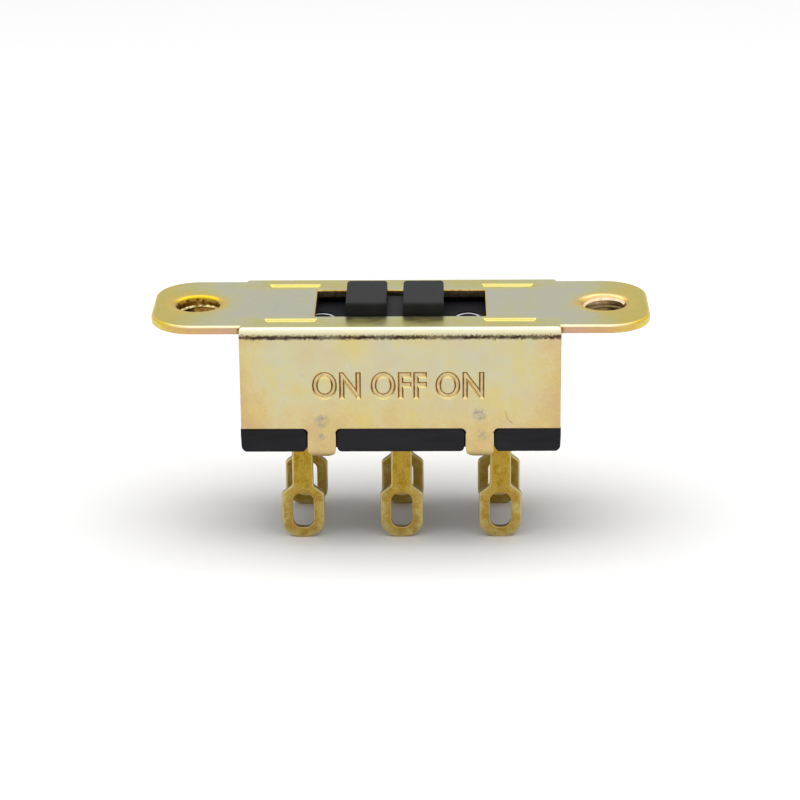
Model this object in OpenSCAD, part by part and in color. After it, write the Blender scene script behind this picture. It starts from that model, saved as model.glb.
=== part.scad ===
// Slide switch with two poles and three positions, screwed behind a panel.
// One folded sheet makes the frame, and its four clinched tabs hold the moulded base.
// X runs along the plate, Y across it, and Z points out of the panel.
// The origin is midway between the screw holes, on the top of the plate.

/* [Mounting plate] */
// Distance between the two screw holes
hole_pitch = 28.575; // [27:0.025:31]
// Length of the plate from ear to ear
plate_len = 34.8; // [33.5:0.1:38]
// Width of the ears
ear_w = 9.7; // [8:0.1:9.9]
// Corner radius of the ears
ear_r = 3; // [1:0.1:4]
// Thickness of the sheet
sheet_t = 0.6; // [0.45:0.05:0.8]
// Diameter of the screw holes
screw_d = 2.9; // [2.4:0.05:3.6]
// Height of the drawn collar round each screw hole, from the top of the plate
collar_h = 1.4; // [1:0.1:2.4]
// Length of the slot that the knob moves in
slot_len = 11.9; // [10:0.1:13]
// Width of the slot
slot_w = 5.6; // [5.2:0.1:6]

/* [Folded walls] */
// Length of the walls
body_len = 22.2; // [20:0.1:24]
// Width over the two walls
body_w = 11.4; // [10.6:0.1:13]
// Height of the walls, from the top of the plate
wall_h = 7.3; // [6.6:0.1:8]
// Inside radius of the folds
fold_r = 0.15; // [0.05:0.05:0.4]
// Distance between the two tabs of a wall
tab_pitch = 11; // [9:0.1:13]
// Width of a tab
tab_w = 1.95; // [1.4:0.05:2.6]

/* [Pressed ribs] */
// Distance between the ribs of a row
rib_pitch = 15.2; // [14.4:0.1:16]
// Distance between the two rows of ribs
rib_rows = 7.4; // [7.1:0.1:8]
// Length of a rib
rib_len = 3.7; // [2.6:0.1:4.4]
// Width of a rib
rib_w = 0.9; // [0.7:0.05:1.4]
// Depth of a rib
rib_depth = 0.17; // [0.1:0.01:0.3]

/* [Base] */
// Height of the ledge below the frame's walls
ledge_h = 1.74; // [1.2:0.02:2.6]
// Depth of the tray's floor below the top of the plate
floor_depth = 6; // [5.7:0.1:6.5]
// Thickness of the end walls
end_wall = 1.1; // [0.7:0.05:1.4]

/* [Terminals] */
// Distance between the terminals of a row
lug_pitch = 7; // [6.2:0.1:7.8]
// Distance between the two rows of terminals
row_pitch = 6; // [5.6:0.1:6.8]
// Depth of the lug tips below the top of the plate
lug_depth = 16.55; // [14:0.05:20]
// Thickness of a blade
blade_t = 0.5; // [0.3:0.05:0.7]
// Width of a stem
stem_w = 1.5; // [1:0.05:2]
// Width of a lug
lug_w = 3.05; // [2.4:0.05:3.8]
// Height of a lug
lug_h = 4; // [3.6:0.1:5]
// Width of the eye in a lug
eye_w = 1.5; // [1:0.05:1.8]
// Height of the eye in a lug
eye_h = 2.6; // [1.7:0.05:2.8]
// Length of a contact pad along the row
pad_len = 3.2; // [2:0.1:3.8]

/* [Slider] */
// Length of the knob over its two lumps
knob_len = 6.85; // [5.6:0.05:8]
// Width of the knob
knob_w = 5; // [4.2:0.1:5.2]
// Height of the knob above the plate
knob_h = 0.86; // [0.4:0.02:3]
// Width of the valley between the lumps
valley_w = 1.14; // [0.6:0.02:2]
// Depth of the valley
valley_depth = 1.2; // [0.5:0.05:1.4]
// Edge radius of the lumps
knob_r = 0.25; // [0.1:0.05:0.4]
// Place of the knob along the slot
knob_shift = -0.4; // [-2.2:0.1:2.2]

/* [Contacts and springs] */
// Width of a bridging contact
bridge_w = 1.7; // [1.2:0.05:1.9]
// Thickness of a bridging contact
bridge_t = 0.35; // [0.2:0.05:0.5]
// Mean diameter of the coils
coil_d = 1.15; // [0.8:0.05:1.2]
// Diameter of the spring wire
wire_d = 0.25; // [0.15:0.01:0.3]
// Number of coils
coils = 6; // [4:1:8]

/* [Hidden] */
$fn = 48;

// Straight pieces in each rounded corner of an outline
arc_steps = 6;
// How far a cut runs past the surface it opens
overrun = 0.5;

// Gap between pieces that seat on each other
seat_gap = 0.02;
// Gap between a sliding piece and its guide
slide_gap = 0.1;
// Gap between the knob and the end of the slot at full travel
stop_gap = 0.025;
// Gap round a terminal in the base
blade_gap = 0.03;

// Frame: lip of the drawn holes, wall of the collars, and the join of ears and walls
lip_r = 0.42;
collar_t = 0.4;
ear_lap = 0.3;
slot_r = 0.15;

// Depth of the base's underside below the top of the plate
base_depth = wall_h + ledge_h;

// Tabs: bend under the base, and the radii of root and tip
tab_in_r = 0.3;
tab_tip = 0.2;
tab_lead = 0.35;
tab_lap = 0.3;
tab_root_r = 0.35;
tab_tip_r = 0.6;
tab_angle = 45;
tab_bend_z = base_depth - tab_lead;
tab_out_r = tab_in_r + sheet_t;
tab_low = tab_bend_z + tab_out_r * sin(tab_angle) + tab_tip * cos(tab_angle);

// Base: outline of the ends, notches and tray
base_proud = 0.04;
base_len = body_len + 2 * base_proud;
draft_low = 0.05;
draft_up = 0.12;
parting_drop = 0.4;
base_end_r = 0.5;
base_edge_r = 0.12;
ledge_in = 0.08;
notch_gap = 0.1;
notch_r = 0.4;
seat_rise = 0.5;
seat_in = 0.3;
tray_r = 0.5;
tray_gap = 0.2;
core_w = body_w - 2 * sheet_t - slide_gap;
ledge_z = wall_h + seat_gap;
rim_z = sheet_t + rib_depth + seat_gap;
tray_len = base_len - 2 * end_wall;
tray_w = row_pitch + blade_t + 2 * tray_gap;

// Terminals: lug outline, eye and contact pad
shoulder_drop = 0.6;
toe_in = 0.75;
toe_rise = 0.75;
toe_r = 1.15;
lug_r = 0.4;
neck_r = 0.25;
eye_r = 0.6;
eye_margin = 0.78;
pad_rise = 0.15;
pad_w = 2.2;
pad_r = 0.3;
pad_z = floor_depth - pad_rise;

// Slider: flange, runners, carriage and ejector marks
travel = (slot_len - knob_len) / 2 - stop_gap;
rib_clear = 0.18;
runner_gap = 0.05;
runner_w = 0.4;
flange_t = 0.9;
flange_r = 0.4;
mark_pitch = 10.29;
mark_r = 0.83;
mark_depth = 0.08;
flange_z = sheet_t + rib_depth + rib_clear;
runner_z = sheet_t + runner_gap;
flange_len = tray_len - 2 * travel - 2 * slide_gap;
flange_w = tray_w - 3 * slide_gap;
runner_len = rib_pitch - rib_len - 2 * travel - 2 * slide_gap;

// Contacts: feet, boss and the pocket that carries them
foot_drop = 0.5;
bridge_end = 0.9;
boss_d = 0.7;
boss_h = 0.3;
track_in = 1;
pocket_wall = 0.6;
pocket_lift = 0.6;
pocket_skirt = 0.15;
roof_t = 0.15;
bridge_len = lug_pitch + 2 * bridge_end;
track_y = row_pitch / 2 - track_in;
strip_z = pad_z - seat_gap - foot_drop;
strip_top = strip_z - bridge_t;
foot_out_r = foot_drop + bridge_t / 2;
foot_in_r = foot_out_r - bridge_t;
pocket_len = bridge_len + 2 * slide_gap;
pocket_w = bridge_w + 2 * slide_gap;
pocket_top = strip_top - pocket_lift;
carriage_len = pocket_len + 2 * pocket_wall;
carriage_z = strip_z + pocket_skirt;

// Springs: seat in the slider's bores
bore_gap = 0.1;
coil_steps = 12;
wire_sides = 8;
bore_d = coil_d + wire_d + 2 * bore_gap;
bore_top = flange_z + flange_t + roof_t;
spring_low = strip_top - seat_gap;
spring_h = spring_low - bore_top - seat_gap;

function unit(v) = v / norm(v);

// Arc that rounds the corner at b, between a and c
function corner_arc(a, b, c, r) =
    let (u = unit(a - b))
    let (v = unit(c - b))
    let (half = acos(u * v) / 2)
    let (mid = b + unit(u + v) * r / sin(half))
    let (p = b + u * r / tan(half) - mid)
    let (q = b + v * r / tan(half) - mid)
    let (start = atan2(p[1], p[0]))
    let (swing = atan2(p[0] * q[1] - p[1] * q[0], p * q))
    [for (i = [0 : arc_steps])
        let (t = start + swing * i / arc_steps)
        mid + r * [cos(t), sin(t)]];

// Closed outline with each corner rounded by its own radius, zero for a sharp one
function round_outline(points, radii) =
    let (n = len(points))
    [for (i = [0 : n - 1])
        each radii[i] > 0
            ? corner_arc(points[(i + n - 1) % n], points[i], points[(i + 1) % n], radii[i])
            : [points[i]]];

// Draws an outline of Y and Z out along X
module along_x(length) {
    rotate([90, 0, 90])
        linear_extrude(height = length, center = true)
            children();
}

// Draws an outline of X and Z out along Y
module along_y(length) {
    rotate([90, 0, 0])
        linear_extrude(height = length, center = true)
            children();
}

// Rectangle with round corners, centred
module round_rect(length, width, r) {
    square([length - 2 * r, width], center = true);
    square([length, width - 2 * r], center = true);
    for (sx = [-1, 1], sy = [-1, 1])
        translate([sx * (length / 2 - r), sy * (width / 2 - r)])
            circle(r);
}

// Outline that hangs from zero, with two round shoulders
module arch(width, height, r) {
    translate([-width / 2, -height])
        square([width, height - r]);
    translate([r - width / 2, -height])
        square([width - 2 * r, height]);
    for (s = [-1, 1])
        translate([s * (width / 2 - r), -r])
            circle(r);
}

// Hollow fillets on both sides of a strip, just below the line at z
module root_webs(width, z, r) {
    for (s = [-1, 1])
        difference() {
            translate([s * (width + r) / 2, z - r / 2])
                square(r, center = true);
            translate([s * (width / 2 + r), z - r])
                circle(r);
        }
}

// Plate outline of the right ear
module ear_outline() {
    root = body_len / 2 - ear_lap;
    tip = plate_len / 2;
    translate([root, -ear_w / 2])
        square([tip - ear_r - root, ear_w]);
    translate([root, ear_r - ear_w / 2])
        square([tip - root, ear_w - 2 * ear_r]);
    for (s = [-1, 1])
        translate([tip - ear_r, s * (ear_w / 2 - ear_r)])
            circle(ear_r);
}

module ear() {
    translate([0, 0, -sheet_t])
        linear_extrude(height = sheet_t)
            ear_outline();
    translate([hole_pitch / 2, 0, -collar_h])
        cylinder(d = screw_d + 2 * collar_t, h = collar_h - sheet_t / 2);
}

// Screw hole with the round lip that drawing leaves
module screw_hole() {
    translate([hole_pitch / 2, 0, -collar_h - overrun])
        cylinder(d = screw_d, h = collar_h + 2 * overrun);
    translate([hole_pitch / 2, 0, 0])
        rotate_extrude()
            difference() {
                translate([0, -lip_r])
                    square([screw_d / 2 + lip_r, lip_r + overrun]);
                translate([screw_d / 2 + lip_r, -lip_r])
                    circle(lip_r);
            }
}

// Section across a rib, with sloping sides
module rib_section(width) {
    low = width / 2 - rib_depth;
    high = width / 2 + sheet_t / 2;
    polygon([[-high, sheet_t / 2], [high, sheet_t / 2], [low, -rib_depth], [-low, -rib_depth]]);
}

module ribs() {
    for (sx = [-1, 1], sy = [-1, 1])
        translate([sx * rib_pitch / 2, sy * rib_rows / 2, 0])
            intersection() {
                along_x(rib_len + sheet_t)
                    rib_section(rib_w);
                along_y(rib_w + sheet_t)
                    rib_section(rib_len);
            }
}

// Section of a tab, clinched under the edge of the base
module tab_section() {
    inner = body_w / 2 - sheet_t;
    reach = 2 * tab_out_r;
    translate([inner, -tab_bend_z])
        square([sheet_t, tab_bend_z - wall_h + tab_lap]);
    translate([inner - tab_in_r, -tab_bend_z]) {
        intersection() {
            difference() {
                circle(tab_out_r);
                circle(tab_in_r);
            }
            polygon([[0, 0], [reach, 0], [reach * cos(tab_angle), -reach * sin(tab_angle)]]);
        }
        rotate(-tab_angle)
            translate([tab_in_r, -tab_tip])
                square([sheet_t, tab_tip]);
    }
}

// Front outline of a tab, with filleted root and round tip
module tab_outline() {
    translate([-tab_w / 2, tab_tip_r - tab_low])
        square([tab_w, tab_low - tab_tip_r - wall_h + tab_lap]);
    translate([tab_tip_r - tab_w / 2, -tab_low])
        square([tab_w - 2 * tab_tip_r, tab_tip_r]);
    for (s = [-1, 1])
        translate([s * (tab_w / 2 - tab_tip_r), tab_tip_r - tab_low])
            circle(tab_tip_r);
    root_webs(tab_w, -wall_h, tab_root_r);
}

module tab() {
    translate([tab_pitch / 2, 0, 0])
        intersection() {
            along_x(tab_w + 2 * tab_root_r)
                tab_section();
            along_y(body_w + overrun)
                tab_outline();
        }
}

module frame() {
    color("#d3c384")
        difference() {
            union() {
                along_x(body_len)
                    difference() {
                        arch(body_w, wall_h, fold_r + sheet_t);
                        translate([0, -sheet_t])
                            arch(body_w - 2 * sheet_t, wall_h, fold_r);
                    }
                for (side = [0, 1])
                    mirror([side, 0, 0]) {
                        ear();
                        tab();
                        mirror([0, 1, 0])
                            tab();
                    }
                translate([0, 0, -sheet_t])
                    ribs();
            }
            ribs();
            for (side = [0, 1])
                mirror([side, 0, 0])
                    screw_hole();
            translate([0, 0, -sheet_t - overrun])
                linear_extrude(height = sheet_t + 2 * overrun)
                    round_rect(slot_len, slot_w, slot_r);
        }
}

// Front outline of the base, with draft both ways from the parting line
module base_outline() {
    half = base_len / 2;
    parting = ledge_z + parting_drop;
    points = [
        [half - draft_low, -base_depth], [half, -parting], [half - draft_up, -rim_z],
        [draft_up - half, -rim_z], [-half, -parting], [draft_low - half, -base_depth]
    ];
    polygon(round_outline(points, [base_end_r, 0, 0, 0, 0, base_end_r]));
}

// End outline of the base: a core inside the frame, on a ledge that stays just behind the walls
module base_section() {
    side = body_w / 2 - ledge_in;
    points = [
        [side, -base_depth], [side, -ledge_z], [core_w / 2, -ledge_z], [core_w / 2, -rim_z],
        [-core_w / 2, -rim_z], [-core_w / 2, -ledge_z], [-side, -ledge_z], [-side, -base_depth]
    ];
    polygon(round_outline(points, [base_edge_r, 0, 0, 0, 0, 0, 0, base_edge_r]));
}

// Notch for one tab, with round corners and a slope that the tab is bent over
module notch() {
    notch_w = tab_w + 2 * notch_gap;
    depth = (body_w - core_w) / 2 + overrun;
    translate([tab_pitch / 2, core_w / 2 + depth / 2, 0])
        along_y(depth) {
            translate([-notch_w / 2, -base_depth - overrun])
                square([notch_w, base_depth - ledge_z + 2 * overrun]);
            root_webs(notch_w, -ledge_z, notch_r);
            mirror([0, 1])
                root_webs(notch_w, base_depth, notch_r);
        }
    translate([tab_pitch / 2, core_w / 2, -base_depth])
        along_x(notch_w)
            polygon([[-seat_in, 0], [0, seat_rise], [overrun, seat_rise],
                     [overrun, -overrun], [-seat_in, -overrun]]);
}

// Slot and pad seat for one terminal
module terminal_seat() {
    wide = stem_w + 2 * blade_gap;
    outer = row_pitch / 2 + blade_t / 2 + blade_gap;
    seat_w = pad_w + blade_gap;
    translate([-wide / 2, outer - blade_t - 2 * blade_gap, -base_depth - overrun])
        cube([wide, blade_t + 2 * blade_gap, base_depth - floor_depth + 2 * overrun]);
    translate([0, outer - blade_t - seat_w / 2, -pad_z - blade_t - blade_gap])
        linear_extrude(height = blade_t + overrun)
            round_rect(pad_len + 2 * blade_gap, seat_w + 2 * blade_gap, pad_r);
}

module base() {
    color("#28282a")
        difference() {
            intersection() {
                along_y(body_w)
                    base_outline();
                along_x(base_len)
                    base_section();
            }
            translate([0, 0, -floor_depth])
                linear_extrude(height = floor_depth)
                    round_rect(tray_len, tray_w, tray_r);
            for (sx = [0, 1], sy = [0, 1])
                mirror([sx, 0, 0])
                    mirror([0, sy, 0])
                        notch();
            for (column = [-1 : 1], row = [0, 1])
                translate([column * lug_pitch, 0, 0])
                    mirror([0, row, 0])
                        terminal_seat();
        }
}

// Front outline of a blade: stem, shoulders and lug
module blade_outline() {
    shoulder = lug_h - lug_depth;
    top = -pad_z - blade_t;
    right = [
        [stem_w / 2, top], [stem_w / 2, shoulder], [lug_w / 2, shoulder - shoulder_drop],
        [lug_w / 2, toe_rise - lug_depth], [lug_w / 2 - toe_in, -lug_depth]
    ];
    radii = [0, neck_r, lug_r, toe_r, toe_r];
    back = [len(right) - 1 : -1 : 0];
    points = concat(right, [for (i = back) [-right[i][0], right[i][1]]]);
    difference() {
        polygon(round_outline(points, concat(radii, [for (i = back) radii[i]])));
        translate([0, eye_margin + eye_h / 2 - lug_depth])
            round_rect(eye_w, eye_h, eye_r);
    }
}

// One terminal: a blade with its top folded over into a contact pad, mirrored for the front row
module terminal(column, front) {
    inner = row_pitch / 2 - blade_t / 2;
    color("#b99a45")
        translate([column * lug_pitch, 0, 0])
            mirror([0, front, 0]) {
                translate([0, row_pitch / 2, 0])
                    along_y(blade_t)
                        blade_outline();
                along_x(stem_w)
                    intersection() {
                        translate([inner, -pad_z - blade_t])
                            circle(blade_t);
                        translate([inner, -pad_z - blade_t])
                            square(blade_t);
                    }
                translate([0, inner - pad_w / 2, -pad_z - blade_t])
                    linear_extrude(height = blade_t)
                        round_rect(pad_len, pad_w, pad_r);
            }
}

// Block with round edges on top and at its corners, up from the flange
module lump(length, width, top, r) {
    intersection() {
        translate([0, 0, top])
            along_y(width)
                arch(length, top + flange_z, r);
        translate([0, 0, top])
            along_x(length)
                arch(width, top + flange_z, r);
        translate([0, 0, -flange_z])
            linear_extrude(height = top + flange_z)
                round_rect(length, width, r);
    }
}

module knob() {
    lump_len = (knob_len - valley_w) / 2;
    for (s = [-1, 1])
        translate([s * (knob_len - lump_len) / 2, 0, 0])
            lump(lump_len, knob_w, knob_h, knob_r);
    translate([0, 0, -flange_z])
        linear_extrude(height = knob_h - valley_depth + flange_z)
            round_rect(knob_len, knob_w, knob_r);
}

module slider() {
    color("#38383a")
        translate([knob_shift, 0, 0])
            difference() {
                union() {
                    knob();
                    translate([0, 0, -flange_z - flange_t])
                        linear_extrude(height = flange_t)
                            round_rect(flange_len, flange_w, flange_r);
                    translate([0, 0, -carriage_z])
                        linear_extrude(height = carriage_z - flange_z - flange_t / 2)
                            round_rect(carriage_len, flange_w, flange_r);
                    for (s = [-1, 1])
                        translate([0, s * (flange_w - runner_w) / 2, -flange_z - flange_t / 2])
                            linear_extrude(height = flange_z + flange_t / 2 - runner_z)
                                square([runner_len, runner_w], center = true);
                }
                for (s = [-1, 1]) {
                    translate([s * mark_pitch / 2, 0, -flange_z - mark_depth])
                        cylinder(r = mark_r, h = mark_depth + overrun);
                    translate([-pocket_len / 2, s * track_y - pocket_w / 2, -carriage_z - overrun])
                        cube([pocket_len, pocket_w, carriage_z - pocket_top + overrun]);
                    translate([0, s * track_y, -carriage_z])
                        cylinder(d = bore_d, h = carriage_z - bore_top);
                }
            }
}

// Bridging contact: a strip with two pressed feet and a boss that centres the spring
module contact(row) {
    foot_z = foot_drop - foot_out_r;
    color("#c98f52")
        translate([knob_shift, row * track_y, -strip_z]) {
            along_y(bridge_w)
                difference() {
                    union() {
                        translate([-bridge_len / 2, 0])
                            square([bridge_len, bridge_t]);
                        for (s = [-1, 1])
                            translate([s * lug_pitch / 2, -foot_z])
                                circle(foot_out_r);
                    }
                    for (s = [-1, 1])
                        translate([s * lug_pitch / 2, -foot_z])
                            circle(foot_in_r);
                    translate([-bridge_len / 2, bridge_t])
                        square([bridge_len, foot_out_r]);
                }
            cylinder(d = boss_d, h = bridge_t + boss_h);
        }
}

// Height along the coil, with the end coils closed
function coil_z(turn) =
    let (rise = spring_h - 3 * wire_d)
    turn < 1 ? turn * wire_d
    : turn > coils - 1 ? spring_h - wire_d - (coils - turn) * wire_d
    : wire_d + (turn - 1) * rise / (coils - 2);

// Coil spring that presses a contact down on the pads
module spring(row) {
    rings = coils * coil_steps;
    points = [for (i = [0 : rings], j = [0 : wire_sides - 1])
        let (turn = i / coil_steps)
        let (side = 360 * j / wire_sides)
        let (r = (coil_d + wire_d * cos(side)) / 2)
        [r * cos(360 * turn), r * sin(360 * turn), coil_z(turn) + (wire_d + wire_d * sin(side)) / 2]];
    skin = [for (i = [0 : rings - 1], j = [0 : wire_sides - 1], half = [0, 1])
        let (a = i * wire_sides + j)
        let (b = i * wire_sides + (j + 1) % wire_sides)
        half == 0 ? [a, b, b + wire_sides] : [a, b + wire_sides, a + wire_sides]];
    ends = [
        [for (j = [wire_sides - 1 : -1 : 0]) j],
        [for (j = [0 : wire_sides - 1]) rings * wire_sides + j]
    ];
    color("#b8bbc0")
        translate([knob_shift, row * track_y, -spring_low])
            polyhedron(points, concat(skin, ends));
}

frame();
base();
slider();
terminal(-1, 1);  // terminal_front_left
terminal(0, 1);  // terminal_front_middle
terminal(1, 1);  // terminal_front_right
terminal(-1, 0);  // terminal_rear_left
terminal(0, 0);  // terminal_rear_middle
terminal(1, 0);  // terminal_rear_right
contact(-1);  // contact_front
contact(1);  // contact_rear
spring(-1);  // spring_front
spring(1);  // spring_rear
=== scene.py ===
import math
import bpy
import bmesh
from mathutils import Matrix, Vector


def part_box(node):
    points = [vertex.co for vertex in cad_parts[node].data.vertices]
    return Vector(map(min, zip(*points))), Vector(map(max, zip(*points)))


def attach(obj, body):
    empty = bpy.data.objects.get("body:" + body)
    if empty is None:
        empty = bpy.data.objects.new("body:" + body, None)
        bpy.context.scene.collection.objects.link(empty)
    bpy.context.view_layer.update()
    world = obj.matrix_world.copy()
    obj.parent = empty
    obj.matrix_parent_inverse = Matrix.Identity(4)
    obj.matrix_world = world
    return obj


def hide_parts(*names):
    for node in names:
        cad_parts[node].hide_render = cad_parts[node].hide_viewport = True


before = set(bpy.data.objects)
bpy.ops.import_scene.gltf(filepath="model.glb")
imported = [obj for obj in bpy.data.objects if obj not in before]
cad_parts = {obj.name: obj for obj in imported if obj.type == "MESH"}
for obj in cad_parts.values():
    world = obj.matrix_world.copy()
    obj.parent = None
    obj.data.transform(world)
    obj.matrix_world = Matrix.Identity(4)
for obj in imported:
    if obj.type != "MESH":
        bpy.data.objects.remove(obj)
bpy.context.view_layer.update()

mm = 0.001
weld = 0.0005 * mm  # corners nearer than this are one
scene = bpy.context.scene
scene.view_settings.view_transform = "Standard"
print("switch loaded:", len(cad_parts), "nodes")


# camera: a long lens from the front, looking down on the plate
cameraView = {
    "tilt": 20.972, "turn": 0.831, "roll": 0.467,  # degrees
    "away": 211.863, "right": 0.057, "down": -6.837,  # the plate's middle as the lens sees it, mm
    "lens": 135.47, "sensor": 36, "nearest": 0.01,  # mm, mm and m
}

tilt, turn, roll = (math.radians(cameraView[k]) for k in ("tilt", "turn", "roll"))
ahead = Vector((-math.sin(turn) * math.cos(tilt), math.cos(turn) * math.cos(tilt), -math.sin(tilt)))
level = Vector((math.cos(turn), math.sin(turn), 0))
below = ahead.cross(level)
toRight = level * math.cos(roll) + below * math.sin(roll)
toDown = below * math.cos(roll) - level * math.sin(roll)
camera = bpy.data.objects.new("tableCamera", bpy.data.cameras.new("tableCamera"))
camera.data.lens = cameraView["lens"]
camera.data.sensor_width = cameraView["sensor"]
camera.data.clip_start = cameraView["nearest"]
eye = -(toRight * cameraView["right"] + toDown * cameraView["down"] + ahead * cameraView["away"]) * mm
camera.matrix_world = Matrix.Translation(eye) @ Matrix((toRight, -toDown, -ahead)).transposed().to_4x4()
scene.collection.objects.link(camera)
scene.camera = camera
print("camera set")


def linear(hexCode):
    parts = [int(hexCode[i:i + 2], 16) / 255 for i in (1, 3, 5)]
    return [c / 12.92 if c <= 0.04045 else ((c + 0.055) / 1.055) ** 2.4 for c in parts] + [1.0]


# settings go to the node's own fields or to its sockets, links come from other nodes' sockets
def addNode(tree, kind, settings=None, links=None):
    made = tree.nodes.new(kind)
    for key, value in (settings or {}).items():
        if key == "stops":
            ramp = made.color_ramp.elements
            while len(ramp) < len(value):
                ramp.new(1.0)
            for stop, (place, shade) in zip(ramp, value):
                stop.position = place
                stop.color = linear(shade)
        elif isinstance(key, str) and hasattr(made, key):
            setattr(made, key, value)
        else:
            made.inputs[key].default_value = linear(value) if isinstance(value, str) else value
    for key, source in (links or {}).items():
        tree.links.new(source, made.inputs[key])
    return made


def newMaterial(name):
    made = bpy.data.materials.new(name)
    made.use_nodes = True
    made.node_tree.nodes.clear()
    return made, made.node_tree


# most materials are laid out in mm on the piece's own coordinates
def startMaterial(name):
    made, tree = newMaterial(name)
    place = addNode(tree, "ShaderNodeTexCoord").outputs["Object"]
    spot = addNode(tree, "ShaderNodeVectorMath", {"operation": "SCALE", "Scale": 1 / mm}, {0: place})
    return made, tree, spot.outputs[0]


# relief is a pattern, its strength and its depth in mm
# where patches are given the roughness drifts with them, over the range that a noise mostly keeps to
def finishMaterial(tree, finish, settings, shade, relief, patches=None):
    pattern, strength, depth = relief
    bump = addNode(tree, "ShaderNodeBump", {"Strength": strength, "Distance": depth * mm},
                   {"Height": pattern})
    links = {"Base Color": shade, "Normal": bump.outputs[0]}
    if patches:
        drift = addNode(tree, "ShaderNodeMapRange", {
            "From Min": 0.3, "From Max": 0.7,
            "To Min": finish["rough"], "To Max": finish["rough"] + finish["roughSpread"]}, {"Value": patches})
        links["Roughness"] = drift.outputs[0]
    shader = addNode(tree, "ShaderNodeBsdfPrincipled", settings, links)
    addNode(tree, "ShaderNodeOutputMaterial", links={0: shader.outputs[0]})


# a node's triangles, merged and with each flat face made whole
def copyNode(nodeName, flatWithin=0.4):
    bm = bmesh.new()
    bm.from_mesh(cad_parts[nodeName].data)
    bmesh.ops.remove_doubles(bm, verts=bm.verts, dist=weld)
    bmesh.ops.dissolve_limit(bm, angle_limit=math.radians(flatWithin), verts=bm.verts, edges=bm.edges)
    return bm


# small round on every edge that is sharper than the given angle, but not on the steps of a curve
def breakEdges(bm, width, segments, sharper=40, shortest=0.0, where=None, slide=True):
    sharp = []
    for edge in bm.edges:
        a, b = (v.co / mm for v in edge.verts)
        if edge.is_manifold and edge.calc_face_angle(0) > math.radians(sharper) and (a - b).length > shortest:
            if where is None or where(a, b):
                sharp.append(edge)
    bmesh.ops.bevel(bm, geom=sharp, offset=width * mm, offset_type="OFFSET", segments=segments,
                    profile=0.5, affect="EDGES", clamp_overlap=False, loop_slide=slide, material=-1)


def addPiece(name, bm, materials, body, nodes, smooth=50):
    mesh = bpy.data.meshes.new(name)
    bm.to_mesh(mesh)
    bm.free()
    stored = mesh.attributes.get("custom_normal")
    if stored:
        mesh.attributes.remove(stored)  # the node's own normals don't fit the new edges
    mesh.shade_smooth()
    mesh.set_sharp_from_angle(angle=math.radians(smooth))
    piece = bpy.data.objects.new(name, mesh)
    scene.collection.objects.link(piece)
    for material in materials:
        mesh.materials.append(material)
    even = piece.modifiers.new("evenShading", "WEIGHTED_NORMAL")  # keeps the flats flat beside the rounds
    even.keep_sharp = True
    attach(piece, body)
    if nodes:
        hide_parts(*nodes)


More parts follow.
